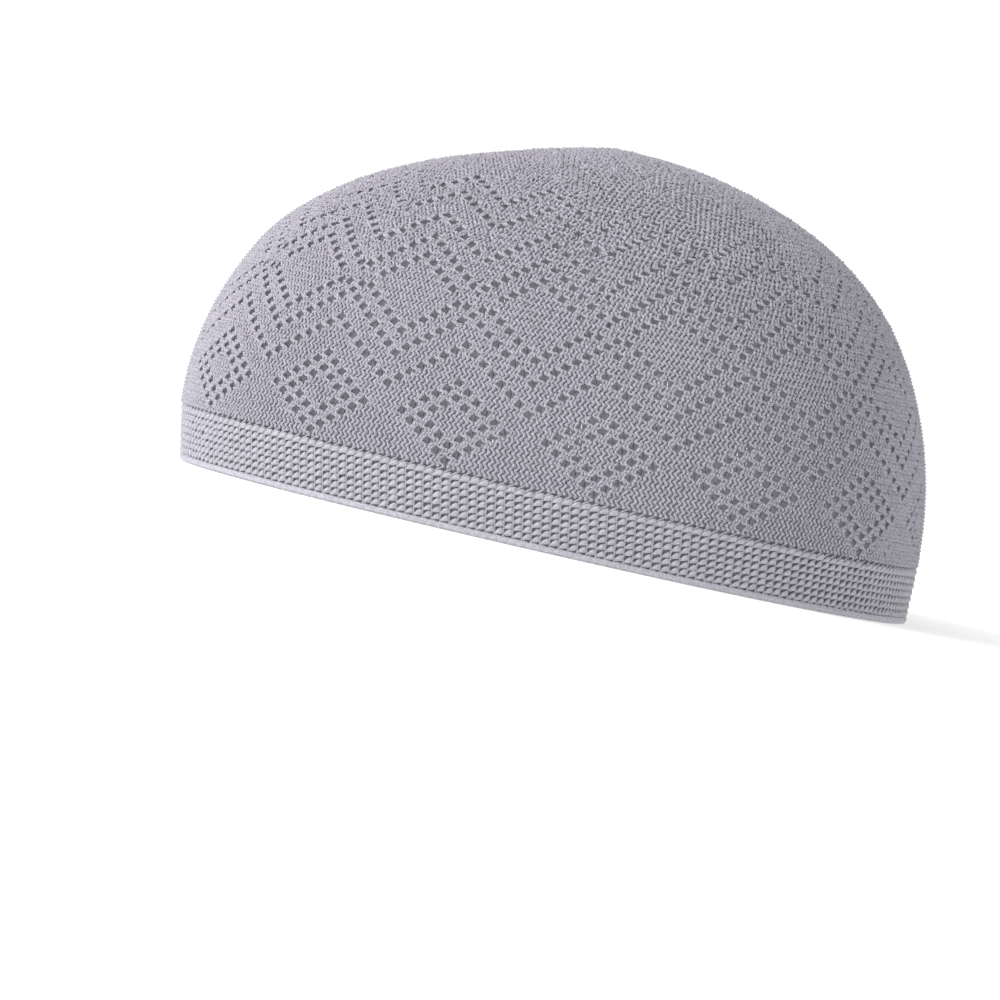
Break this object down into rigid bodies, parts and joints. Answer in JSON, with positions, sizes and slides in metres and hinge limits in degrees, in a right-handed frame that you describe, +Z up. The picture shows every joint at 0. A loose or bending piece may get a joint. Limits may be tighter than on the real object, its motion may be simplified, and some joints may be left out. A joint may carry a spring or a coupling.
{
  "type": "knitted kufi cap",
  "caption": "Brimless rounded cap knitted in grey yarn, with a crown of openwork diamonds, a net-stitch band and a thin rolled rim.",
  "frame": {"origin": "middle of the rim's underside, which rests on the surface", "axes": "+Z up through the top of the crown, the wearer's front towards -Y and the wearer's left side towards +X"},
  "size_m": [0.1572, 0.1963, 0.103],
  "materials": {
    "crown_yarn": "matte knitted cotton with eyelets",
    "band_yarn": "matte net-stitch knit",
    "rim_yarn": "matte rolled knitted edge"
  },
  "bodies": {
    "root": {"crown": "crown_yarn", "band": "band_yarn", "rim": "rim_yarn"}
  },
  "joints": []
}
